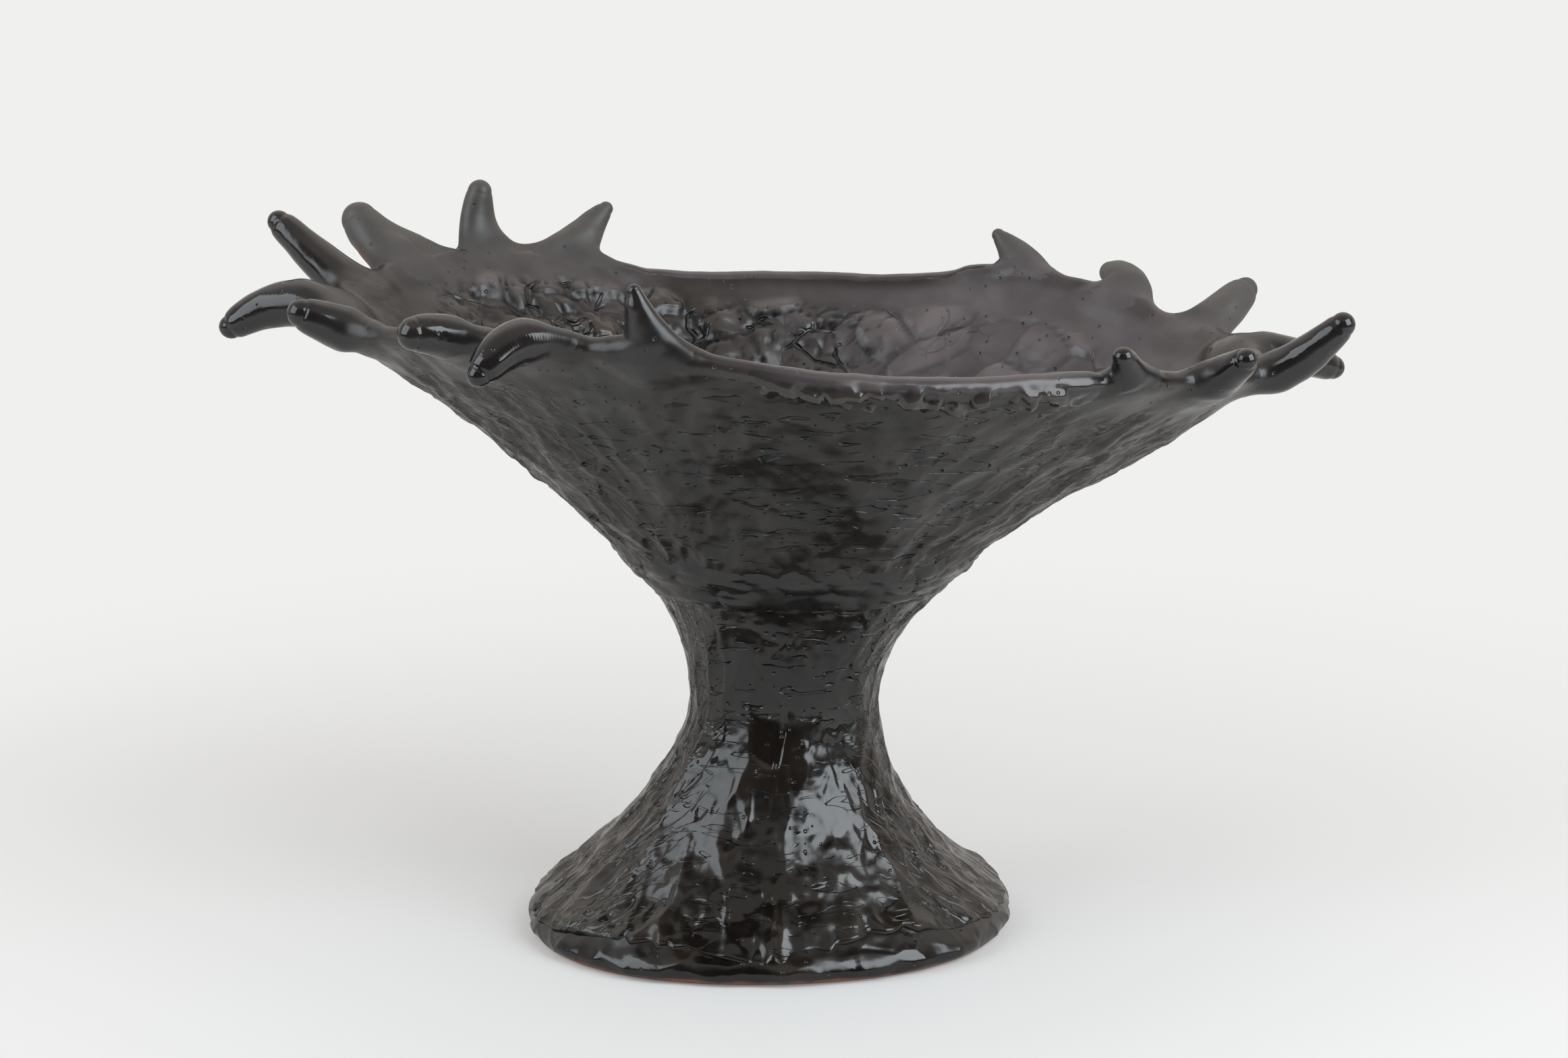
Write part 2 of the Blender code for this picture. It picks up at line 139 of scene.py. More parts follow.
def dabs(marks, dish, ledge, step=0.22):
    """Shallow dishes that meet in ridges, each dish a little higher or lower than the next."""
    nearest, second, number, _ = marks
    hollow = dish * (np.minimum(nearest, 0.9) ** 2 - 0.25)
    return hollow + ledge * (number - 0.5) * ease(0, step, second - nearest)


def seams(marks, width):
    """1 on the line where two marks meet, 0 at the width from it, in mark sizes."""
    return ease(width, 0.0, marks[1] - marks[0])


def outward(skin):
    """Unit directions square to a skin, from the cross product of its two ways."""
    round_it = np.roll(skin, -1, 1) - np.roll(skin, 1, 1)
    up_it = np.empty_like(skin)
    up_it[1:-1] = skin[2:] - skin[:-2]
    up_it[0], up_it[-1] = skin[1] - skin[0], skin[-1] - skin[-2]
    square = np.cross(round_it, up_it)
    return square / np.maximum(np.linalg.norm(square, axis=-1, keepdims=True), 1e-9)


def placed(name, data):
    """A new object, linked to the scene."""
    thing = bpy.data.objects.new(name, data)
    bpy.context.scene.collection.objects.link(thing)
    return thing


def clay_piece(name, skin, numbers, body_slot, finish, hoop=False):
    """A closed mesh through a skin's rows. A hoop joins the last row to the first; otherwise both
    end rows close on a middle point. The glaze reads the numbers kept at the points."""
    rows, columns = skin.shape[:2]
    points = (skin.reshape(-1, 3) + NECK_FOOT) / 1000
    index = np.arange(rows * columns).reshape(rows, columns)
    if hoop:
        index = np.concatenate([index, index[:1]])
    low, high = index[:-1], index[1:]
    faces = np.stack([low, np.roll(low, -1, 1), np.roll(high, -1, 1), high], -1).reshape(-1, 4)
    corners = points[faces]
    volume = (np.cross(corners[:, 1] - corners[:, 0], corners[:, 2] - corners[:, 0]) * corners[:, 0]).sum()
    faces = faces.tolist()
    if not hoop:
        points = np.concatenate([points, points[index[[0, -1]]].mean(1)])
        for end, ring in enumerate((index[0], index[-1])):
            edges = np.stack([ring, np.roll(ring, -1)], -1)[:, ::1 if end else -1]
            faces += np.column_stack([edges, np.full(columns, rows * columns + end)]).tolist()
    if volume < 0:
        faces = [face[::-1] for face in faces]
    mesh = bpy.data.meshes.new(name)
    mesh.from_pydata(points, [], faces)
    for key, values in numbers.items():
        flat = np.asarray(values, np.float32).reshape(-1)
        middles = np.full(len(points) - len(flat), flat.mean(), np.float32)
        layer = mesh.attributes.new(key, "FLOAT", "POINT")
        layer.data.foreach_set("value", np.concatenate([flat, middles]))
    mesh.materials.append(finish)
    mesh.shade_smooth()
    mesh.update()
    piece = placed(name, mesh)
    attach(piece, "root")
    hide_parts(name)


class Wire:
    """A shader socket that takes arithmetic: each sign adds its Math node."""

    def __init__(self, nodes, socket):
        self.nodes, self.socket = nodes, socket

    def __add__(self, other):
        return self.nodes.reckon("ADD", self, other)

    def __sub__(self, other):
        return self.nodes.reckon("SUBTRACT", self, other)

    def __rsub__(self, other):
        return self.nodes.reckon("SUBTRACT", other, self)

    def __mul__(self, other):
        return self.nodes.reckon("MULTIPLY", self, other)

    def __pow__(self, other):
        return self.nodes.reckon("POWER", self, other)

    def __abs__(self):
        return self.nodes.reckon("ABSOLUTE", self, 0.0)

    __radd__, __rmul__ = __add__, __mul__


class Nodes:
    """The nodes of a material or of the world. One method adds any node; a key of its values is a
    socket's name, or its number after a low line."""

    def __init__(self, owner):
        owner.use_nodes = True
        self.tree = owner.node_tree

    def set(self, node, **values):
        for key, value in values.items():
            entry = node.inputs[int(key[1:]) if key[1:].isdigit() else key.replace("_", " ")]
            if isinstance(value, Wire):
                self.tree.links.new(value.socket, entry)
            else:
                entry.default_value = value

    def node(self, kind, settings=(), out=0, **values):
        node = self.tree.nodes.new("ShaderNode" + kind)
        for key, value in dict(settings).items():
            setattr(node, key, value)
        self.set(node, **values)
        return Wire(self, node.outputs[out])

    def reckon(self, operation, first, second):
        return self.node("Math", {"operation": operation}, _0=first, _1=second)

    def number(self, name):
        """A number that the piece keeps at its points."""
        return self.node("Attribute", {"attribute_name": name}, out=2)

    def parts(self, place):
        return [self.node("SeparateXYZ", out=number, Vector=place) for number in range(3)]

    def between(self, low, high, wire):
        """0 where the wire is below low, 1 above high, eased between."""
        eased = {"interpolation_type": "SMOOTHSTEP"}
        return self.node("MapRange", eased, Value=wire, From_Min=low, From_Max=high)

    def blend(self, share, first, second):
        return self.node("Mix", {"data_type": "RGBA"}, out=2, _0=share, _6=first, _7=second)

    def noise(self, place, scale, detail=2.0, rough=0.5, warp=0.0, out=0):
        return self.node("TexNoise", out=out, Vector=place, Scale=scale, Detail=detail, Roughness=rough,
                         Distortion=warp)

    def bump(self, height, strength, distance, below=None, invert=False):
        more = {"Normal": below} if below else {}
        return self.node("Bump", {"invert": invert}, Height=height, Strength=strength, Distance=distance,
                         **more)


# The scales of the glaze's patterns, in cells to the metre, and its colours where it isn't black.
# The two sheen colours are painted sheen: a lighter satin tone standing in for reflected light.
CLOUDS, PATCHES, GRAIN, PINHOLES, RIPPLES = 26.0, 75.0, 420.0, 310.0, 120.0
DRAGS, STROKES, BENDS, PILLOWS, TEARS = 72.0, 150.0, 46.0, 42.0, 55.0
POOLED, BARE_CLAY = (0.003, 0.003, 0.003, 1.0), (0.24, 0.09, 0.045, 1.0)
PAINTED_SHEEN_LOW, PAINTED_SHEEN_HIGH = (0.06, 0.048, 0.05, 1.0), (0.14, 0.115, 0.118, 1.0)
RUST = (0.13, 0.042, 0.014, 1.0)


def black_glaze(name, dark, warm, gloss, satin, dashes=0.0, climb=1.0, pits=0.5, bare_foot=False,
                inner=False):
    """Stoneware glaze: black where it pools, brown where it thins over ridges, with glossy and
    satin patches, a faint ripple and pinholes. Dashes are short dark drags, and fine ridges that
    fingers left aslant, upwards from the middle or, with climb -1, downwards; on the ends the
    ridges' lighter colour is partly a painted highlight. Inner is the bowl's inside, with soft
    pillows and torn seams between them; its "inner" number blends in a satin finish whose lighter
    colour is a painted sheen."""
    owner = bpy.data.materials.new(name)
    glaze = Nodes(owner)
    between, blend, bump, node = glaze.between, glaze.blend, glaze.bump, glaze.node
    noise, number = glaze.noise, glaze.number
    place = node("TexCoord", out=3)
    relief, crack = number("relief"), number("crack")
    cloud = noise(place, CLOUDS, 3.0, 0.55, 0.4)
    patch = noise(place, PATCHES, 2.0, 0.5, 0.6)
    hole, hole_colour = (node("TexVoronoi", out=out, Vector=place, Scale=PINHOLES) for out in (0, 1))
    chosen = between(0.86, 0.9, node("SeparateColor", Color=hole_colour))
    dented = (1.0 - between(0.12, 0.3, hole)) * chosen * pits
    raised = cloud * 0.4 + relief * 0.6
    if dashes:
        long_way = node("Mapping", Vector=place, Scale=(1.0, 1.0, 4.6), Rotation=(0.0, -0.12, 0.0))
        dashed = number("dashed")
        drag = noise(long_way, DRAGS, 1.0, 0.4, 0.5)
        dented = dented + between(0.61, 0.66, drag) * dashed * dashes
        aside, ahead, up = glaze.parts(place)
        flow = node("CombineXYZ", _0=(abs(aside) * 0.8 + up * 0.6 * climb) * 0.24,
                    _1=up * 0.8 * climb - abs(aside) * 0.6, _2=ahead)
        stroke = 1.0 - between(0.0, 0.07, abs(noise(flow, STROKES, 2.0, 0.5, 0.5) - 0.5))
        # Kept to the ends, where the lines' lighter colour is a painted highlight along real finger ridges.
        stroke = stroke * between(-0.01, 0.03, abs(aside) - abs(ahead) * 0.9)
        stroke = stroke * between(0.0, 0.2, dashed) * dashes
        raised = raised + stroke * 0.16
    thin = between(0.42, 0.8, raised)
    colour = blend(thin, (*dark, 1.0), (*warm, 1.0))
    if inner:
        sway = noise(place, BENDS, 1.0, out=1)
        bent = node("VectorMath", {"operation": "MULTIPLY_ADD"}, _0=sway, _1=(0.03, 0.03, 0.03), _2=place)
        flat = node("Mapping", Vector=bent, Scale=(0.75, 0.75, 1.25), Rotation=(0.0, 0.25, 0.0))
        edge = node("TexVoronoi", {"feature": "DISTANCE_TO_EDGE"}, Vector=flat, Scale=PILLOWS)
        torn = number("torn")
        broken = between(0.47, 0.58, noise(place, TEARS, 1.0))
        dented = dented + (1.0 - between(0.01, 0.05, edge)) * broken * torn
        pillow = between(0.0, 0.34, edge) * torn
    dark_line = between(0.05, 0.8, dented + crack)
    colour = blend(dark_line * 0.85, colour, POOLED)
    shine = gloss + (satin - gloss) * between(0.35, 0.7, patch * 0.6 + cloud * 0.4)
    # A piece's "inner" number blends in a lighter colour and a satin roughness: painted sheen on a real satin
    # finish.
    if inner:
        within = number("inner")
        colour = blend(within * (1.0 - dark_line), colour, blend(thin, PAINTED_SHEEN_LOW, PAINTED_SHEEN_HIGH))
        shine = shine * (1.0 - within) + within * (0.34 + 0.16 * between(0.4, 0.62, cloud))
    if bare_foot:
        high = glaze.parts(place)[2]
        bare = 1.0 - between(0.0012, 0.0034, high + (patch - 0.5) * 0.004)
        colour = blend(bare, colour, BARE_CLAY)
        shine = shine * (1.0 - bare) + bare * 0.7
    shine = shine + number("matt") * 0.24
    colour = blend(number("rust") * between(0.42, 0.6, patch), colour, RUST)
    skin = bump(noise(place, RIPPLES), 0.35, 0.0006)
    skin = bump(noise(place, GRAIN, rough=0.6), 0.12, 0.0002, skin)
    if dashes:
        skin = bump(stroke, 0.55, 0.0009, skin)
    if inner:
        skin = bump(pillow, 0.7, 0.0016, skin)
    skin = bump(dented, 0.8, 0.0013, skin, invert=True)
    glaze.set(glaze.tree.nodes["Principled BSDF"], Base_Color=colour, Roughness=shine, Normal=skin, IOR=1.52)
    return owner


def pinched(height, low, waist, foot, joint):
    """A half length that grows from the waist by a power curve down to the low height and by a
    parabola up to the joint."""
    below = np.clip(WAIST_HEIGHT - height, 0, None) / (WAIST_HEIGHT - low)
    above = np.clip(height - WAIST_HEIGHT, 0, None) / (JOINT_HEIGHT - WAIST_HEIGHT)
    return waist + (foot - waist) * below ** FOOT_FLARE + (joint - waist) * above ** 2


def stem_radius(height):
    """Half length of the stem's outside."""
    radius = pinched(height, FOOT_TOP, WAIST_RADIUS, FOOT_RADIUS, JOINT_HALF_LENGTH)
    return np.minimum(radius, FOOT_RADIUS)


def stem_row(angles, radius, height):
    """One oval round the stem's leaning middle line. Towards the foot it is deeper and squarer,
    and turned a little, left end to the front."""
    fall = ease(WAIST_HEIGHT, LEAN_HEIGHT, height)
    climb = np.clip(height - WAIST_HEIGHT, 0, None) / (JOINT_HEIGHT - WAIST_HEIGHT)
    low = np.clip(1 - height / WAIST_HEIGHT, 0, 1)
    radius = radius * (1 + FOOT_SQUARE * np.clip(1 - height / SQUARE_HEIGHT, 0, 1) * np.sin(2 * angles) ** 2)
    x = FOOT_OFFSET * fall + JOINT_OFFSET * climb ** 1.5 + radius * np.cos(angles)
    ratio = DEPTH_RATIO + (FOOT_DEPTH_RATIO - DEPTH_RATIO) * low
    y = ratio * radius * np.sin(angles) + low * (FOOT_TURN * x - FOOT_FORWARD)
    return np.stack(np.broadcast_arrays(x, y, height), -1)


def round_curve(table, angles):
    """A smooth closed curve through evenly spaced values."""
    table = np.array(table, float)
    place = np.asarray(angles, float) / (2 * math.pi) * len(table) % len(table)
    left = np.floor(place).astype(int)
    part = place - left
    before, start, end, after = (table[(left + step) % len(table)] for step in (-1, 0, 1, 2))
    bend = 2 * before - 5 * start + 4 * end - after
    twist = 3 * (start - end) + after - before
    return start + part / 2 * (end - before + part * (bend + part * twist))


def ledge_line(angles):
    """Height of the skirt's ragged lower edge, 1 in the middle of a lobe and 0 between two, and
    how strongly the lobes stand out there."""
    round_it = np.stack([np.cos(angles), np.sin(angles), 0 * angles], -1)
    lobe = 0.5 + 0.5 * np.cos(LEDGE_LOBES * angles + 8 * swell(round_it, 0.5, 3)
                              + 4 * swell(round_it, 0.17, 4))
    strength = ease(-0.35, 0.25, swell(round_it, 0.42, 6))
    height = (round_curve(LEDGE_HEIGHTS, angles) + 1.4 * swell(round_it, 0.3, 5)
              - 2.4 * strength * (lobe ** 0.7 - 0.5))
    return height, lobe, strength


def pedestal_skin():
    """Up the outside, over the top and down the hollow. The outside's rows are spaced evenly
    along the flare, and its lowest ones follow the ledge's waves and curl in under it."""
    angles = all_round(PEDESTAL_COLUMNS)
    ledge, lobe, strength = ledge_line(angles)
    groove_foot = JOINT_HEIGHT - GROOVE_DROP
    sample = np.linspace(LEDGE_HEIGHT, groove_foot, 600)
    run = np.concatenate([[0], np.cumsum(np.hypot(np.diff(stem_radius(sample)), np.diff(sample)))])
    height = np.interp(np.linspace(0, run[-1], FLARE_ROWS), run, sample)[:, None]
    down = 1 - (height - LEDGE_HEIGHT) / (groove_foot - LEDGE_HEIGHT)
    height = height + (ledge - LEDGE_HEIGHT) * down ** 9
    outside = stem_row(angles, stem_radius(height), height)
    thumbs = finger_marks(outside, 16.0, 30.0, 11, slant=0.12, sway=6.0)
    strokes = finger_marks(outside, 8.5, 24.0, 17, slant=-0.12, sway=4.0)
    flank = ease(0.35, 0.9, np.abs(np.cos(angles)))
    flare = ease(112, 60, height)
    relief = (dabs(thumbs, 1.4, 1.3) * (0.6 + 0.4 * flare) + dabs(strokes, 1.3, 1.1) * (0.22 + 0.78 * flank)
              + 0.9 * swell(outside, 34, 21) + (0.35 + 0.6 * flare) * swell(outside, 12, 22)
              + (0.17 + 0.12 * flare) * swell(outside, 5, 23))
    hang = ease(30, 15, height)
    relief = relief + hang * (LEDGE_PROUD + (lobe - LOBE_MIDDLE) * strength)
    outside = outside + outward(outside) * relief[..., None]
    curl = []
    for tilt in CURL_TURNS:
        radius = (stem_radius(ledge) + LEDGE_PROUD - CURL_IN * (1 - math.cos(tilt))
                  + 0.8 * (lobe - LOBE_MIDDLE) * strength)
        curl.insert(0, stem_row(angles, radius, ledge - CURL_DOWN * math.sin(tilt)))
    seat = [stem_row(angles, SEAT_RADIUS, high) for high in SEAT_HEIGHTS]
    top = JOINT_HEIGHT + TOP_RISE
    over = [stem_row(angles, JOINT_HALF_LENGTH - TOP_INSET, top)]
    deep = np.concatenate([np.linspace(top, WAIST_HEIGHT, 12), np.linspace(WAIST_HEIGHT, HOLLOW_LOW, 24)[1:]])
    radius = pinched(deep, HOLLOW_LOW, HOLLOW_WAIST, HOLLOW_FOOT, HOLLOW_TOP)
    hollow = stem_row(angles, radius[:, None], deep[:, None])
    lumps = 0.8 * swell(hollow, 20, 29) + 0.4 * swell(hollow, 8, 30)
    hollow[2:-2] += (outward(hollow) * lumps[..., None])[2:-2]
    skin = np.concatenate([np.stack(seat + curl), outside, np.stack(over), hollow])
    shown = slice(len(seat + curl), len(seat + curl) + FLARE_ROWS)
    full, groove, dashed = np.zeros((3, *skin.shape[:2]))
    # On the ends, the stroke seams also lighten the colour: a painted highlight along real ridges.
    full[shown] = relief - hang * LEDGE_PROUD + 0.9 * seams(strokes, 0.12) * flank
    groove[shown] = seams(strokes, 0.06) * ease(0.75, 0.92, strokes[3]) * 0.6
    dashed[shown] = 0.3 + 0.7 * ease(70, 100, height)
    return skin, {"relief": 0.5 + full / 4, "crack": groove, "dashed": dashed}


pedestal_glaze = black_glaze("pedestal_glaze", (0.006, 0.0043, 0.0034), (0.018, 0.0128, 0.009), 0.11, 0.3,
                             dashes=0.65, climb=-1.0, pits=0.8)
clay_piece("pedestal", *pedestal_skin(), "pedestal_glaze", pedestal_glaze, hoop=True)

# The foot coil: a thumb-thick roll of the same clay under the pedestal's edge, smoothed into the
# skirt above it. Glaze was wiped off its bottom edge, where the fired clay shows as a red-brown line.
COIL_IN, COIL_INNER_TOP, COIL_TOP = 86.5, 14.0, 20.0
COIL_BAND = ((97.5, 0.0), (100.4, 0.9), (102.6, 2.4), (103.7, 4.6), (103.5, 6.6), (102.4, 8.4),
             (100.6, 10.2), (98.4, 12.0), (96.0, 14.0), (93.5, 16.0), (91.0, 18.0), (88.8, COIL_TOP))
BAND_ROWS, FOOT_COLUMNS = 45, 480


def smoothed(table, turns):
    """Draws each inner row of a table towards its neighbours' mean, the given number of times."""
    for _ in range(turns):
        table[1:-1] = (table[:-2] + 2 * table[1:-1] + table[2:]) / 4
    return table


def foot_coil_skin():
    """The band's section, smoothed, carried round the foot's oval; it bulges and waves a little."""
    angles = all_round(FOOT_COLUMNS)
    corners = np.arange(len(COIL_BAND))
    fine = np.linspace(0, corners[-1], BAND_ROWS)
    radius, height = (smoothed(np.interp(fine, corners, column)[:, None], 4) for column in zip(*COIL_BAND))
    band = stem_row(angles, radius, height)
    free = ease(0.3, 3.5, height) * ease(COIL_TOP, 15.0, height)
    marks = finger_marks(band, 15.0, 12.0, 41, sway=6.0)
    relief = free * (1.2 * swell(band, 34, 42) + 0.9 * swell(band, 12, 43)
                     + 0.22 * swell(band, 5, 44) + dabs(marks, 1.4, 1.5))
    band = band + outward(band) * relief[..., None] * np.array((1, 1, 0.4))
    inner = [stem_row(angles, COIL_IN, high) for high in (COIL_INNER_TOP, 0.0)]
    skin = np.concatenate([band, np.stack(inner)])
    skin[..., 2] = np.maximum(skin[..., 2], 0)
    full = np.concatenate([relief, np.zeros((len(inner), FOOT_COLUMNS))])
    return skin, {"relief": 0.5 + full / 3}


foot_glaze = black_glaze("foot_glaze", (0.0045, 0.0035, 0.003), (0.014, 0.01, 0.0075), 0.12, 0.3,
                         bare_foot=True)
clay_piece("foot_ring", *foot_coil_skin(), "foot_glaze", foot_glaze, hoop=True)

# The bowl: a thick boat-shaped wall pinched up and out from the neck, and luted to it. Its rim is
# a wavy oval, higher at the left end. Outside, the strokes flow down to the neck; inside, coils
# were pressed flat and left torn seams between them.
RIM_OFFSET, RIM_HALF_LENGTH, RIM_HALF_DEPTH = 5.0, 194.0, 137.0
RIM_HEIGHTS = (240, 240.6, 242, 253, 256, 250.8, 251.2, 252.2, 258, 266, 267, 265,
               263, 260.6, 262, 264.5, 267.5, 265, 256.5, 252, 251, 248.8, 243.5, 240)
JOINT_HALF_DEPTH = 57.7
WALL, BELLY, BELLY_TILT, CURL, CURL_TILT, SIDE_FULLNESS = 9.0, -0.19, 0.06, -0.115, -0.21, 0.03
FLOOR_HEIGHT, FLOOR_RISE, GROOVE_RISE, GROOVE_DEPTH = 172.0, 0.13, 0.065, 10.0
BOWL_COLUMNS, OUTSIDE_ROWS, LIP_ROWS, INSIDE_ROWS, FLOOR_ROWS = 540, 80, 14, 60, 19
BACK_LIP, FRONT_LIP = (57.0, 121.0), (253.5, 312.0)
PRESS_SPACING, PRESS_INSIDE, PRESS_OUTSIDE = 36.0, 3.0, 1.4
PRESS_FROM, PRESS_TO = (0.065, 0.3), (0.86, 0.6)
UNDER_SHARES = (0.35, 0.7, 1 - GROOVE_DEPTH / JOINT_HALF_LENGTH)
LIP_START = len(UNDER_SHARES) + OUTSIDE_ROWS
INSIDE_START = LIP_START + LIP_ROWS
outside_rows, lip_rows = slice(len(UNDER_SHARES), LIP_START), slice(LIP_START, INSIDE_START)
inside_rows = slice(INSIDE_START, None)


def wall_outside(angles, rise):
    """The wall's outer face: ovals that spread and climb from the joint, rise 0, to the rim, 1.
    The belly draws the wall in halfway up, and at the two ends the curl does so low down."""
    angles, rise = np.broadcast_arrays(angles, rise)
    cos = np.cos(angles)
    belly = BELLY + BELLY_TILT * cos + SIDE_FULLNESS * (1 - cos ** 2)
    curl = (CURL + CURL_TILT * cos) * cos ** 2
    spread = rise + rise * (1 - rise) * (belly + curl * (1 - 2 * rise))
    half_length = JOINT_HALF_LENGTH + (RIM_HALF_LENGTH - JOINT_HALF_LENGTH) * spread
    half_depth = JOINT_HALF_DEPTH + (RIM_HALF_DEPTH - JOINT_HALF_DEPTH) * spread
    height = JOINT_HEIGHT + (round_curve(RIM_HEIGHTS, angles) - JOINT_HEIGHT) * rise
    middle = JOINT_OFFSET + (RIM_OFFSET - JOINT_OFFSET) * rise
    return np.stack([middle + half_length * cos, half_depth * np.sin(angles), height], -1)


def wall_normal(angles, rise):
    """Unit way out of the wall's outer face, square to two small steps on it."""
    step = 1e-3
    round_it = wall_outside(angles + step, rise) - wall_outside(angles - step, rise)
    up_it = wall_outside(angles, rise) - wall_outside(angles, rise - step)
    square = np.cross(round_it, up_it)
    return square / np.linalg.norm(square, axis=-1, keepdims=True)


def pressed_wall(angles, rise, inside):
    """The wall's outer or inner face with the broad hollows that fingers left in it."""
    smooth, normal = wall_outside(angles, rise), wall_normal(angles, rise)
    free = ease(*PRESS_FROM, rise) * ease(*PRESS_TO, rise)
    if inside:
        smooth = smooth - normal * WALL
        depth = free * PRESS_INSIDE * np.clip(0.5 + 1.5 * swell(smooth, PRESS_SPACING, 88), 0, 1)
        return smooth + normal * depth[..., None]
    lump = free * PRESS_OUTSIDE * np.clip(2.2 * swell(smooth, PRESS_SPACING, 77), -1, 1)
    return smooth + normal * lump[..., None]


def rim_frame(angles):
    """At each angle of the rim: the middle of the lip, the ways out of and up the wall, and how
    fast the wall curves away below the lip."""
    slope = wall_outside(angles, 1.0) - wall_outside(angles, 0.99)
    slope /= np.linalg.norm(slope, axis=-1, keepdims=True)
    normal = wall_normal(angles, 1.0)
    drop = wall_outside(angles, 1.0) - wall_outside(angles, 0.8)
    bend = -((drop * normal).sum(-1)) / ((drop * slope).sum(-1) ** 2)
    return wall_outside(angles, 1.0) - normal * WALL / 2, normal, slope, bend


def plain_lip(angles):
    """1 between the horns at the back and front, where the rim is a plain lip, 0 elsewhere."""
    degrees = np.degrees(angles) % 360
    return sum(ease(first, first + 12, degrees) * ease(last, last - 12, degrees)
               for first, last in (BACK_LIP, FRONT_LIP))


def drawn_in(row, share, height):
    """A smaller, level copy of a row of points."""
    x = JOINT_OFFSET + (row[:, 0] - JOINT_OFFSET) * share
    return np.stack([x, row[:, 1] * share, 0 * x + height], -1)


def bowl_base():
    """The bowl's smooth skin: underside, groove, outer face, rounded lip, inner face and floor."""
    joint = wall_outside(bowl_angles, 0.0)
    rows = [drawn_in(joint, share, JOINT_HEIGHT + 1) for share in UNDER_SHARES]
    rows += [pressed_wall(bowl_angles, rise, False) for rise in np.linspace(GROOVE_RISE, 1, OUTSIDE_ROWS)]
    middle, normal, slope, _ = rim_frame(bowl_angles)
    tall = (WALL / 2 + 0.8 * plain_lip(bowl_angles))[:, None]
    for tilt in np.linspace(0, math.pi, LIP_ROWS + 2)[1:-1]:
        rows.append(middle + normal * WALL / 2 * math.cos(tilt) + slope * tall * math.sin(tilt))
    rows += [pressed_wall(bowl_angles, rise, True) for rise in np.linspace(1, FLOOR_RISE, INSIDE_ROWS)]
    edge, floor_start = rows[-1], len(rows)
    for share in np.linspace(0.955, 0.05, FLOOR_ROWS):
        row = drawn_in(edge, share, FLOOR_HEIGHT)
        row[:, 2] += (edge[:, 2] - FLOOR_HEIGHT) * share ** 12
        rows.append(row)
    skin = np.stack(rows)
    smoothed(skin[floor_start - 9:floor_start + 9], 6)
    return skin


bowl_angles = all_round(BOWL_COLUMNS)
bowl_skin = bowl_base()
bowl_out = outward(bowl_skin)

# The horns: sixteen tapered fingers of clay pulled from rolls, luted astride the wall's edge and
# drawn down on both sides until no joint shows. Each bends out its own way and ends in a round tip.
# A row holds: angle, how far the root is sunk, the tip's place outwards, along the rim and up, how
# far it follows the wall, how far it leans, half width, half thickness, tip radius, taper, and how
# much wider the root gets before and after the middle (less than 0 is slimmer).
HORNS = (
    (9, 3, 46, 6, -8, 6, 8, 10.5, 10.0, 5.2, 0.5, 4, 4),
    (26, 2, 35, 2, 17, 9, 6, 11.5, 10.0, 5.6, 0.45, 5, 7),
    (41, 0, 26, 16, 8.5, 13, 4, 10.5, 9.0, 5.2, 0.6, 1, 8),
    (57, -2, 6, 18, 17, 6, 0, 13.0, 7.8, 3.0, 0.8, -4, 2),
    (121, -2, 8, -22, 25, 14, 0, 12.5, 7.8, 3.2, 0.7, 6, 12),
    (134, -2, 8, 0, 30, 14, 0, 13.0, 8.0, 5.2, 0.75, 11, 5),
    (150, 0, 28, 4, 20, 12, 4, 13.0, 9.5, 7.8, 0.6, 2, 4),
    (166, 3, 37, 6, 29, 6, 4, 12.0, 10.0, 4.8, 0.45, 5, 4),
    (183, 3, 46, 0, -6, 20, 4, 12.0, 11.5, 5.0, 0.5, 4, 4),
    (203, 4, 25, -8, 11, 7, 4, 11.5, 10.5, 5.6, 0.5, 4, 5),
    (228, 2, 21, -12.6, 7, 10, 4, 11.5, 9.5, 6.4, 0.6, 5, 5),
    (239, 1, 27, -14, -7.5, 11, 4, 12.0, 10.5, 4.8, 0.45, 5, 5),
    (253.5, -2, 5, -6, 24.5, 7, -2, 13.0, 7.8, 2.6, 0.85, 1, -4),
    (312, -2, 8, -8, 11, 5, 0, 9.0, 7.6, 4.0, 0.8, 3, 3),
    (328, 3, 27, -2, 15, 8, 6, 10.5, 9.5, 4.4, 0.5, 5, 5),
    (349, 3, 39, -4, 24, 0, 16, 10.5, 10.0, 5.2, 0.5, 4, 4),
)
# Straight fillets from some horns down to the rim: the place on the horn's middle line they start
# from, how far along the rim they end, and how far above the wall's middle.
FILLETS = {
    4: ((0.68, -9, 0.0), (0.25, 26, 1.0)),
    5: ((0.3, -24, 0.0), (0.62, 17, 6.0)),
    7: ((0.8, -24, 3.0),),
    13: ((0.8, 13, 0.5), (0.15, -16, 1.0)),
}
SIDE_SHARE, ROOT_LENGTH, ROOT_THINNING, WEB_END, WEB_FALL = 0.3, 11.0, 0.4, 0.7, 1.8
BLEND, FILLET_BLEND, HIDDEN, FAR = 7.0, 3.0, 0.8, 60.0
SPINE_POINTS, HORN_COLUMNS, HORN_ROWS, ROOT_ROWS, TIP_ROWS, RIM_STEPS = 33, 96, 104, 10, 14, 1440


def along_rim(angle):
    """The rim's level way out of the bowl and the way along it, at one angle."""
    out = wall_normal(angle, 1.0) * (1, 1, 0)
    out = out / np.linalg.norm(out)
    return out, np.array([-out[1], out[0], 0])


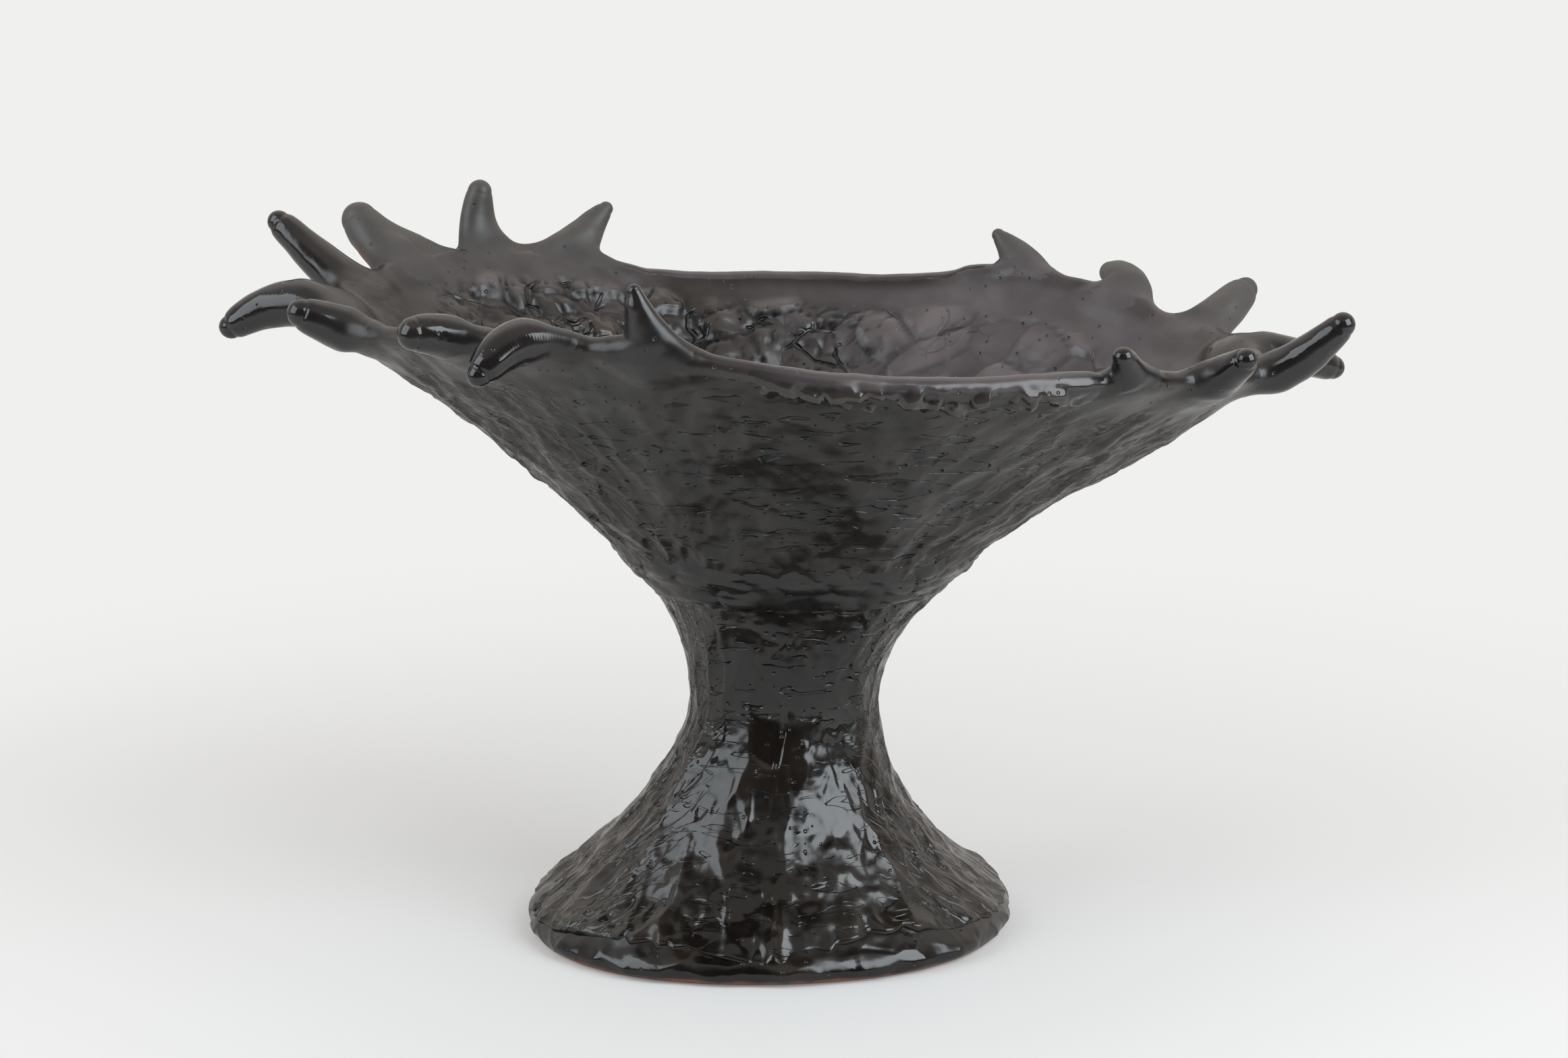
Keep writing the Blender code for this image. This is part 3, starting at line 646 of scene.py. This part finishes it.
def horn_spine(row, fillets=()):
    """A horn's curved middle line, a quadratic curve from root to tip, with its half widths and
    the two ways across it, carried along without twist. Its fillets are rods that thin evenly."""
    angle, sunk, out, side, rise, follow, lean, wide, thick, tip_radius, power, web_before, web_after = row
    here = math.radians(angle)
    outwards, along = along_rim(here)
    middle, _, slope, _ = rim_frame(here)
    root = middle - slope * sunk
    bend = root + slope * follow + outwards * lean + along * side * SIDE_SHARE
    tip = root + outwards * out + along * side + (0, 0, rise)
    share = np.linspace(0, 1, SPINE_POINTS)[:, None]
    points = (1 - share) ** 2 * root + 2 * share * (1 - share) * bend + share ** 2 * tip
    forward = (1 - share) * (bend - root) + share * (tip - bend)
    forward /= np.linalg.norm(forward, axis=1, keepdims=True)
    wide_way = [rim_frame(here + 0.02)[0] - rim_frame(here - 0.02)[0]]
    for ahead in forward:
        across = wide_way[-1] - ahead * (wide_way[-1] @ ahead)
        wide_way.append(across / np.linalg.norm(across))
    wide_way = np.array(wide_way[1:])
    share = share[:, 0]
    taper = (1 - share) ** power
    web = np.clip(1 - share / WEB_END, 0, 1) ** WEB_FALL
    half_wide = tip_radius + (wide - tip_radius) * taper
    thin = (tip_radius + (thick - tip_radius) * taper) * (1 - ROOT_THINNING * ease(0.4, 0.0, share))
    step = np.linalg.norm(rim_frame(here + 0.01)[0] - rim_frame(here - 0.01)[0]) / 0.02
    rods = []
    for place, away, high in fillets:
        at = round(place * (SPINE_POINTS - 1))
        middle, _, slope, _ = rim_frame(here + away / step)
        rods.append((points[at], middle + slope * high, 0.95 * thin[at], 0.48 * WALL))
    return {"points": points, "forward": forward, "wide_way": wide_way, "thin": thin, "tip": tip_radius,
            "thin_way": np.cross(forward, wide_way), "before": half_wide + web_before * web,
            "after": half_wide + web_after * web, "angle": angle, "outwards": outwards, "rods": rods}


def melt(first, second, blend=BLEND):
    """The smaller of two distances, with the corner between them filled as wet clay fills it."""
    share = np.clip(0.5 + 0.5 * (second - first) / blend, 0, 1)
    return second * (1 - share) + first * share - blend * share * (1 - share)


def part_way(table, left, part):
    """A table's values part of the way from each row to the next."""
    part = part if table.ndim > 1 else part[:, 0]
    return table[left] * (1 - part) + table[left + 1] * part


def horn_distance(points, horn):
    """About how far points are outside a horn, less than 0 inside: each point's nearest place on
    the spine is found, and the horn's oval there is measured as an ellipsoid would be."""
    start, step = horn["points"][:-1], np.diff(horn["points"], axis=0)
    size = (step ** 2).sum(1)
    reach = points @ step.T - (start * step).sum(1)
    share = np.clip(reach / size, 0, 1)
    gap = ((points ** 2).sum(1)[:, None] - 2 * points @ start.T + (start ** 2).sum(1)
           - 2 * share * reach + share ** 2 * size)
    near = gap.argmin(1)
    part = np.take_along_axis(share, near[:, None], 1)
    at = (near + part[:, 0]) / (SPINE_POINTS - 1)

    def there(name):
        return part_way(horn[name], near, part)

    away = points - there("points")
    across, through, ahead = ((away * there(way)).sum(1) for way in ("wide_way", "thin_way", "forward"))
    wide = np.where(across > 0, there("after"), there("before"))
    thin = there("thin")
    end = np.where(at > 0.5, horn["tip"], ROOT_LENGTH)
    once = np.sqrt((across / wide) ** 2 + (through / thin) ** 2 + (ahead / end) ** 2)
    twice = np.sqrt((across / wide ** 2) ** 2 + (through / thin ** 2) ** 2 + (ahead / end ** 2) ** 2)
    distance = once * (once - 1) / np.maximum(twice, 1e-6)
    for low, high, first, last in horn["rods"]:
        way = high - low
        share = np.clip((points - low) @ way / (way @ way), 0, 1)
        rod = np.linalg.norm(points - low - share[:, None] * way, axis=1) - first - (last - first) * share
        distance = melt(distance, rod, FILLET_BLEND)
    return distance


rim_angles = np.arange(RIM_STEPS + 1) * 2 * math.pi / RIM_STEPS
rim_middle, rim_out, rim_up, rim_bend = rim_frame(rim_angles)
rim_step = np.gradient(rim_middle, rim_angles, axis=0)
horns = [horn_spine(row, FILLETS.get(number, ())) for number, row in enumerate(HORNS, 1)]


def wall_distance(points):
    """About how far points are from the wall's skin near the rim, less than 0 inside: the rim's
    nearest section is found in a few steps, and the point is measured in that section."""
    angles = np.arctan2(points[:, 1] / RIM_HALF_DEPTH, (points[:, 0] - RIM_OFFSET) / RIM_HALF_LENGTH)
    for _ in range(5):
        place = angles % (2 * math.pi) / (2 * math.pi) * RIM_STEPS
        left = np.minimum(place.astype(int), RIM_STEPS - 1)
        part = (place - left)[:, None]
        middle, step = part_way(rim_middle, left, part), part_way(rim_step, left, part)
        away = points - middle
        angles = angles + (away * step).sum(1) / (step ** 2).sum(1)
    aside, above = ((away * part_way(way, left, part)).sum(1) for way in (rim_out, rim_up))
    sideways = np.abs(aside + rim_bend[left] * np.minimum(above, 0) ** 2)
    return np.where(above > 0, np.hypot(aside, above), sideways) - WALL / 2


def horns_near(angle, reach):
    """The horns that stand within so many degrees of an angle of the rim."""
    return [horn for horn in horns if abs((horn["angle"] - angle + 180) % 360 - 180) < reach]


def soft_marks(points):
    """The faint lumps that drawn-down, wet-smoothed clay keeps."""
    return 0.45 * swell(points, 17, 61) + 0.2 * swell(points, 7, 62)


def horn_skin(horn):
    """Rays leave the spine square to it, and fan out at both ends; each stops where horn, wall and
    neighbouring horns melt together, or inside the wall once the wall's skin covers it."""
    others = [other for other in horns_near(horn["angle"], 32) if other is not horn]
    end = SPINE_POINTS - 1.0
    place = np.concatenate([np.zeros(ROOT_ROWS), np.linspace(0, end, HORN_ROWS), np.full(TIP_ROWS, end)])
    tilt = np.concatenate([np.linspace(-1.5, -0.1, ROOT_ROWS), np.zeros(HORN_ROWS),
                           np.linspace(0.08, 1.52, TIP_ROWS)])[:, None, None]
    left = np.minimum(place.astype(int), SPINE_POINTS - 2)
    part = (place - left)[:, None]

    def there(name):
        return part_way(horn[name], left, part)[:, None]

    spin = all_round(HORN_COLUMNS)[:, None]
    across = there("wide_way") * np.cos(spin) + there("thin_way") * np.sin(spin)
    ray = across * np.cos(tilt) + there("forward") * np.sin(tilt)
    start = np.broadcast_to(there("points"), ray.shape).reshape(-1, 3)
    ray = ray.reshape(-1, 3)
    reach = np.full(len(ray), 2.0)
    for turn in range(26):
        points = start + ray * reach[:, None]
        own = horn_distance(points, horn)
        rest = wall_distance(points)
        for other in others:
            rest = melt(rest, horn_distance(points, other))
        level = -HIDDEN * ease(0, 4, own - rest)
        lack = np.maximum(melt(rest, own) - level, 0.5 * (own - rest - 4))
        reach = np.clip(reach - (0.9 if turn < 18 else 0.6) * lack, 0.5, 45)
    return (start + ray * reach[:, None]).reshape(len(place), HORN_COLUMNS, 3)


SATIN_HORNS, RUSTY_HORN, RUST_PLACE, LONG_DRAWN_HORN = range(2, 8), 7, (5, -8, -18), 13
# The satin horns' glaze is a lighter copy of the black: a real satin finish whose lighter colour is a painted
# sheen.
horn_glaze = black_glaze("horn_glaze", (0.010, 0.0085, 0.0085), (0.03, 0.0235, 0.021), 0.07, 0.2, pits=0.25)
horn_satin_painted_sheen = black_glaze("horn_satin_painted_sheen", (0.056, 0.049, 0.046), (0.1, 0.087, 0.079), 0.46, 0.58, pits=0.4,
                         inner=True)
for number, horn in enumerate(horns, 1):
    shape = horn_skin(horn)
    marks = soft_marks(shape)
    shape = shape + outward(shape) * marks[..., None]
    above_wall = wall_distance(shape.reshape(-1, 3)).reshape(marks.shape)
    drawn_down = ease(26 if number == LONG_DRAWN_HORN else 13, 3, above_wall)
    away = (shape - horn["points"][0]) @ horn["outwards"]
    # The back horns' inward, drawn-down faces take the wall's painted sheen.
    painted_sheen = 0.9 * drawn_down * ease(4, -4, away) * ease(90, 60, horn["angle"])
    numbers = {"relief": 0.5 + marks / 3, "matt": drawn_down * (1 - painted_sheen), "inner": painted_sheen}
    if number == RUSTY_HORN:
        numbers["rust"] = ease(14, 5, np.linalg.norm(shape - (horn["points"][-1] + RUST_PLACE), axis=-1))
    finish = horn_satin_painted_sheen if number in SATIN_HORNS else horn_glaze
    clay_piece(f"horn_{number:02d}", shape, numbers, "horn_glaze", finish)

# The bowl's own skin, with the wall's edge drawn up into every horn. Where a horn takes over, the
# wall's skin runs on just below it. TORN_FROM is how far under the lip the torn slabs begin.
TORN_FROM = (40, 25, 14, 12, 6, 16, 45, 40, 30, 25, 25, 30)


def bowl_shape():
    """Each point near a horn moves out along its own normal to where wall and horns melt."""
    skin, nearest = bowl_skin.copy(), np.full(bowl_skin.shape[:2], FAR)
    rows = slice(outside_rows.start + OUTSIDE_ROWS // 2, INSIDE_START + INSIDE_ROWS // 2)
    for first in range(0, BOWL_COLUMNS, 12):
        patch = rows, slice(first, first + 12)
        close = horns_near(np.degrees(bowl_angles)[patch[1]].mean(), 24)
        if not close:
            continue
        start, way = bowl_skin[patch].reshape(-1, 3), bowl_out[patch].reshape(-1, 3)
        moved = np.zeros(len(start))
        for _ in range(18):
            points = start + way * moved[:, None]
            union, horn_part = moved.copy(), np.full(len(start), FAR)
            for horn in close:
                own = horn_distance(points, horn)
                union, horn_part = melt(union, own), np.minimum(horn_part, own)
            level = -HIDDEN * ease(0, 4, moved - horn_part)
            moved = np.clip(moved - 0.85 * (union - level), -HIDDEN, 12.0)
        skin[patch] = (start + way * moved[:, None]).reshape(skin[patch].shape)
        nearest[patch] = horn_part.reshape(nearest[patch].shape)
    return skin, nearest


wall_skin, horn_near = bowl_shape()
wall_out = outward(wall_skin)


def wall_marks():
    """Finger strokes outside, pressed coils with torn seams inside, and soft lumps everywhere."""
    relief = soft_marks(wall_skin)
    relief_and_painted_highlight, (crack, torn, painted_sheen, dashed) = relief.copy(), np.zeros((4, *relief.shape))
    outer, free = bowl_skin[outside_rows][::-1], ease(2, 16, horn_near[outside_rows])
    endwise = np.abs(np.cos(bowl_angles))
    flank = 0.3 + 0.7 * ease(0.3, 0.85, endwise)
    rise = np.linspace(1, GROOVE_RISE, OUTSIDE_ROWS)[:, None]
    top, low = ease(1.0, 0.93, rise), ease(0.34, 0.12, rise)
    strokes = finger_marks(outer, 9.5, 22.0, 71, slant=0.1, sway=5.0)
    dents = finger_marks(outer, 8.0, 11.0, 75, slant=0.35, sway=3.0)
    dish = (dabs(strokes, 2.1, 1.7) * flank + dabs(dents, 0.9, 0.9) * flank
            + 0.5 * low * dabs(dents, 1.3, 1.4) + 0.35 * swell(outer, 10, 78) + 0.1 * swell(outer, 4, 79))
    relief[outside_rows] += (dish * top)[::-1] * free
    # On the ends, the stroke seams also lighten the colour: a painted highlight along real ridges.
    relief_and_painted_highlight[outside_rows] += ((dish + 1.3 * (seams(strokes, 0.14) * flank)) * top)[::-1] * free
    lines = seams(dents, 0.06) * ease(0.72, 0.9, dents[3])
    crack[outside_rows] = (lines * top * (0.2 + 0.6 * low))[::-1] * free
    dashed[outside_rows] = ease(8, 20, horn_near[outside_rows]) * (0.35 + 0.65 * ease(0.95, 0.6, endwise))
    inner = bowl_skin[inside_rows]
    run = run_down(inner)
    shore = round_curve(TORN_FROM, bowl_angles) + 6 * swell(inner, 20, 90)
    deep = ease(0, 9, run - shore) * ease(0, 5, horn_near[inside_rows])
    calm = ease(12, 42, np.linalg.norm(inner - inner[-1].mean(0), axis=-1))
    left_back = ease(0.5, 0.78, np.cos(bowl_angles - 2.2))
    slabs = finger_marks(inner, 24.0, 17.0, 81, sway=11.0)
    crumbs = finger_marks(inner, 10.0, 9.0, 85, sway=5.0)
    seam = calm * seams(slabs, 0.2) * ease(0.2, 0.5, slabs[3] + 0.25 * left_back)
    split = calm * seams(crumbs, 0.2) * ease(0.6, 0.8, crumbs[3] + 0.25 * left_back)
    pressed = (calm * (dabs(slabs, -1.4, 2.6) + dabs(crumbs, -1.3, 1.6, 0.28) * (0.25 + 0.9 * left_back))
               - (0.9 + 0.5 * left_back) * seam - (0.3 + 0.8 * left_back) * split
               + 0.8 * swell(inner, 12, 89) + 0.25 * swell(inner, 5, 87))
    relief[inside_rows] += pressed * deep
    relief_and_painted_highlight[inside_rows] += pressed * deep
    crack[inside_rows] = np.maximum(seam, split * 0.8) * deep * (0.3 + 0.7 * left_back)
    torn[inside_rows] = deep * (0.28 + 0.72 * left_back)
    # The inside, the lip and the wall by the satin horns take a lighter colour: a painted sheen, strongest on
    # the right, where the lamps above light the inside.
    right = 0.06 + 0.94 * ease(0.2, 0.95, np.cos(bowl_angles - 0.6))
    degrees, clear = np.degrees(bowl_angles), ease(2, 10, horn_near)
    satin_side = ease(12, 22, degrees) * ease(162, 152, degrees)
    painted_sheen[inside_rows] = ease(0, 8, run) * np.maximum(clear, satin_side)[inside_rows] * right
    painted_sheen[lip_rows] = 0.25 * clear[lip_rows]
    painted_sheen_by_satin = 0.6 * (ease(20, 4, horn_near) * satin_side)
    painted_sheen[LIP_START:] = np.maximum(painted_sheen, painted_sheen_by_satin)[LIP_START:]
    return relief[..., None], {"relief": 0.5 + relief_and_painted_highlight / 5, "crack": crack, "dashed": dashed, "torn": torn,
                               "inner": painted_sheen}


wall_relief, wall_numbers = wall_marks()
bowl_glaze = black_glaze("bowl_glaze", (0.0078, 0.0053, 0.0038), (0.034, 0.025, 0.0185), 0.25, 0.4,
                         dashes=1.0, inner=True)
clay_piece("bowl", wall_skin + wall_out * wall_relief, wall_numbers, "bowl_glaze", bowl_glaze)

# The neck seam: a thin coil pressed into the groove between neck and bowl and roughed over with
# the fingertips, so that it stands a little proud in blotches all round.
SEAM_COLUMNS = 400


def neck_seam_skin():
    """From inside the groove, over the seam's rough face and back in under the wall."""
    angles = all_round(SEAM_COLUMNS)
    low_height = np.linspace(JOINT_HEIGHT - 10, JOINT_HEIGHT - 6, 8)[:, None]
    low = stem_row(angles, stem_radius(low_height), low_height)
    high = wall_outside(angles, np.linspace(0.05, 0.16, 16)[:, None])
    share = np.linspace(0, 1, 10)[1:-1, None, None]
    face = smoothed(np.concatenate([low, low[-1] * (1 - share) + high[0] * share, high]), 12)
    way = outward(face)
    edge = np.linspace(0, 1, len(face))[:, None]
    ragged = 0.1 * swell(face, 13, 91) + 0.05 * swell(face, 5, 92)
    cover = ease(0.02, 0.3, edge + ragged) * ease(0.98, 0.6, edge + ragged)
    blots = finger_marks(face, 15.0, 5.5, 93, slant=0.5, sway=6.0)
    relief = dabs(blots, -1.3, 1.5) + 0.5 * swell(face, 9, 95)
    face = face + way * (cover * (1.1 + relief) - 1.2 * (1 - cover))[..., None]
    tip = stem_row(angles, JOINT_HALF_LENGTH - 8.8, JOINT_HEIGHT + 0.8)
    skin = np.concatenate([face, tip[None]])
    full, groove = np.zeros((2, *skin.shape[:2]))
    full[:-1] = relief * cover
    groove[:-1] = seams(blots, 0.12) * ease(0.3, 0.7, blots[3]) * cover
    return skin, {"relief": 0.5 + full / 4, "crack": groove}


seam_glaze = black_glaze("seam_glaze", (0.008, 0.0075, 0.007), (0.022, 0.017, 0.013), 0.2, 0.45)
clay_piece("neck_collar", *neck_seam_skin(), "seam_glaze", seam_glaze, hoop=True)

# The lip coils: thin rolls of clay laid on the plain stretches of rim at the front and the back
# and pinched over the edge. The front one is beaded outside, where the glaze has run and pooled.
LIP_STEPS, ROWS_OVER_WALL, ROWS_INSIDE, COIL_DEPTH = 260, 11, 5, 2.4


def lip_skin(first, last, beads, proud, lower):
    """The bowl's own skin near the rim, thickened by the coil: nothing at its ragged edges, full
    height on top. A row goes once round the coil's section, and the rows follow the rim."""
    rows = slice(LIP_START - ROWS_OVER_WALL, INSIDE_START + ROWS_INSIDE)
    place = np.linspace(first, last, LIP_STEPS) / 360 * BOWL_COLUMNS
    left = np.floor(place).astype(int)
    part = (place - left)[:, None]

    def taken(grid):
        return grid[rows][:, left] * (1 - part) + grid[rows][:, left + 1] * part

    way = taken(wall_out)
    skin = taken(wall_skin) + way * taken(wall_relief)
    down = run_down(skin)
    below = down[ROWS_OVER_WALL + LIP_ROWS // 2] - down
    length = np.linspace(0, 1, LIP_STEPS)
    ends = ease(0, 0.07, length) * ease(1, 0.93, length) * (ease(0.02, 0.28, length) if beads else 1)
    ragged = 2.2 * swell(skin, 11, 101) + 1.2 * swell(skin, 5, 102)
    cover = ease(lower, lower - 3.0, below + ragged) * ease(-9.0, -6.5, below + 0.4 * ragged) * ends
    bead = np.clip(swell(skin * (1, 1, 1.3), 7.5, 105) + 0.4 * swell(skin, 4.0, 106), -0.3, 1)
    lumps = (beads * ease(0, 4, below) * np.minimum(0.1 + bead * 3.2, 1.3)
             * (0.5 * ease(1.5, 4, below) + 1.6 * ease(4.5, 8, below))
             * (ease(0.05, 0.35, length) * ease(1.0, 0.8, length)))
    thick = cover * (proud + lumps) - 0.6 * (1 - cover)
    # The top of the coil takes the lighter satin colour: a painted sheen where the lip faces up.
    satin = 0.55 * ease(4.8, 3.2, below + 0.3 * ragged) * ease(0.02, 0.3, length) * ease(1.0, 0.88, length)
    section = np.concatenate([skin + way * thick[..., None], (skin - way * COIL_DEPTH)[::-1]])
    full, painted_sheen_band = np.concatenate([thick, 0 * thick]), np.concatenate([satin, satin])
    return section.transpose(1, 0, 2), {"relief": 0.5 + full.T / 5, "inner": painted_sheen_band.T}


lip_glaze = black_glaze("lip_glaze", (0.013, 0.0115, 0.0115), (0.036, 0.029, 0.026), 0.06, 0.22, pits=0.4,
                        inner=True)
for name, (first, last), *form in (("rim_coil_front", FRONT_LIP, 1.0, 0.7, 17.0),
                                   ("rim_coil_back", BACK_LIP, 0.0, 0.45, 9.0)):
    clay_piece(name, *lip_skin(first + 4, last - 3, *form), "pedestal_glaze", lip_glaze)

# The studio: a white paper sweep under and behind the bowl, two large soft boxes high at the left
# and right, and an unlit room behind the camera. Towards the camera the paper darkens: painted shade for that
# unlit room.
PAPER, PAPER_LAID, PAPER_NEAR_PAINTED_SHADE = (0.871, 0.871, 0.863), (0.7, 0.69, 0.682, 1.0), (0.2, 0.195, 0.19, 1.0)
FLOOR_REACH = 9
floor_mesh = bpy.data.meshes.new("floor")
corners = [(x * FLOOR_REACH, y * FLOOR_REACH, 0) for x, y in ((-1, -1), (1, -1), (1, 1), (-1, 1))]
floor_mesh.from_pydata(corners, [], [(0, 1, 2, 3)])
floor = placed("floor", floor_mesh)
floor_mesh.materials.append(bpy.data.materials.new("paper"))
paper = Nodes(floor_mesh.materials[0])
shader = paper.tree.nodes["Principled BSDF"]
across, behind, _ = paper.parts(paper.node("TexCoord", out=3))
reach = (across ** 2.0 + behind ** 2.0) ** 0.5
# From 0.6 m in front of the bowl towards the camera, the paper's colour darkens: painted shade standing in
# for the unlit room.
laid = paper.blend(paper.between(-1.1, -0.6, behind), PAPER_NEAR_PAINTED_SHADE, PAPER_LAID)
paper.set(shader, Base_Color=laid, Roughness=0.9, Specular_IOR_Level=0.1)
lit = paper.node("LightPath", out="Is Camera Ray") * (0.2 + paper.between(0.13, 0.7, reach) * 0.8)
glow = paper.node("Emission", Color=(*PAPER, 1.0), Strength=1.0)
mixed = paper.node("MixShader", _0=lit, _1=Wire(paper, shader.outputs[0]), _2=glow)
paper.set(paper.tree.nodes["Material Output"], Surface=mixed)

world = bpy.data.worlds.new("studio")
bpy.context.scene.world = world
room = Nodes(world)
_, front_back, up_down = room.parts(room.node("TexCoord", out="Generated"))
seen = room.node("LightPath", out="Is Camera Ray")
light = (room.between(-0.45, 0.35, front_back - up_down * 0.35) * 0.75
         + room.between(0.55, 0.85, up_down) * 0.5 + 0.06)
red, green, blue = (seen * shown + (1.0 - seen) * light * warmth
                    for shown, warmth in zip(PAPER, (1.0, 0.95, 0.9)))
tone = room.node("CombineColor", _0=red, _1=green, _2=blue)
room.set(room.tree.nodes["Background"], Color=tone, Strength=1.0)

# A box's azimuth, elevation, distance, width, height and strength.
SOFT_BOXES = {"left_box": (-64, 30, 1.55, 1.15, 1.25, 3.4), "right_box": (54, 31, 1.55, 1.1, 1.25, 5.8)}
for name, (azimuth, elevation, away, wide, tall, strength) in SOFT_BOXES.items():
    lamp = bpy.data.lights.new(name, "AREA")
    lamp.shape, lamp.size, lamp.size_y = "RECTANGLE", wide, tall
    lamp.color = (0.88, 0.955, 1.0)
    lamp.energy = strength * math.pi * wide * tall
    box = placed(name, lamp)
    turn, lift = math.radians(azimuth), math.radians(elevation)
    box.location = (away * math.sin(turn) * math.cos(lift), -away * math.cos(turn) * math.cos(lift),
                    0.1 + away * math.sin(lift))
    box.rotation_euler = (math.radians(90) - lift, 0, turn)

lens = bpy.data.cameras.new("camera")
lens.lens, lens.sensor_width, lens.sensor_fit = 85.0, 36.0, "HORIZONTAL"
lens.clip_end = 50.0
camera = placed("camera", lens)
camera.location = (-0.0026, -1.5220, 0.5226)
camera.rotation_euler = (math.radians(77), 0, 0)
bpy.context.scene.camera = camera
bpy.context.scene.view_settings.view_transform = "Standard"
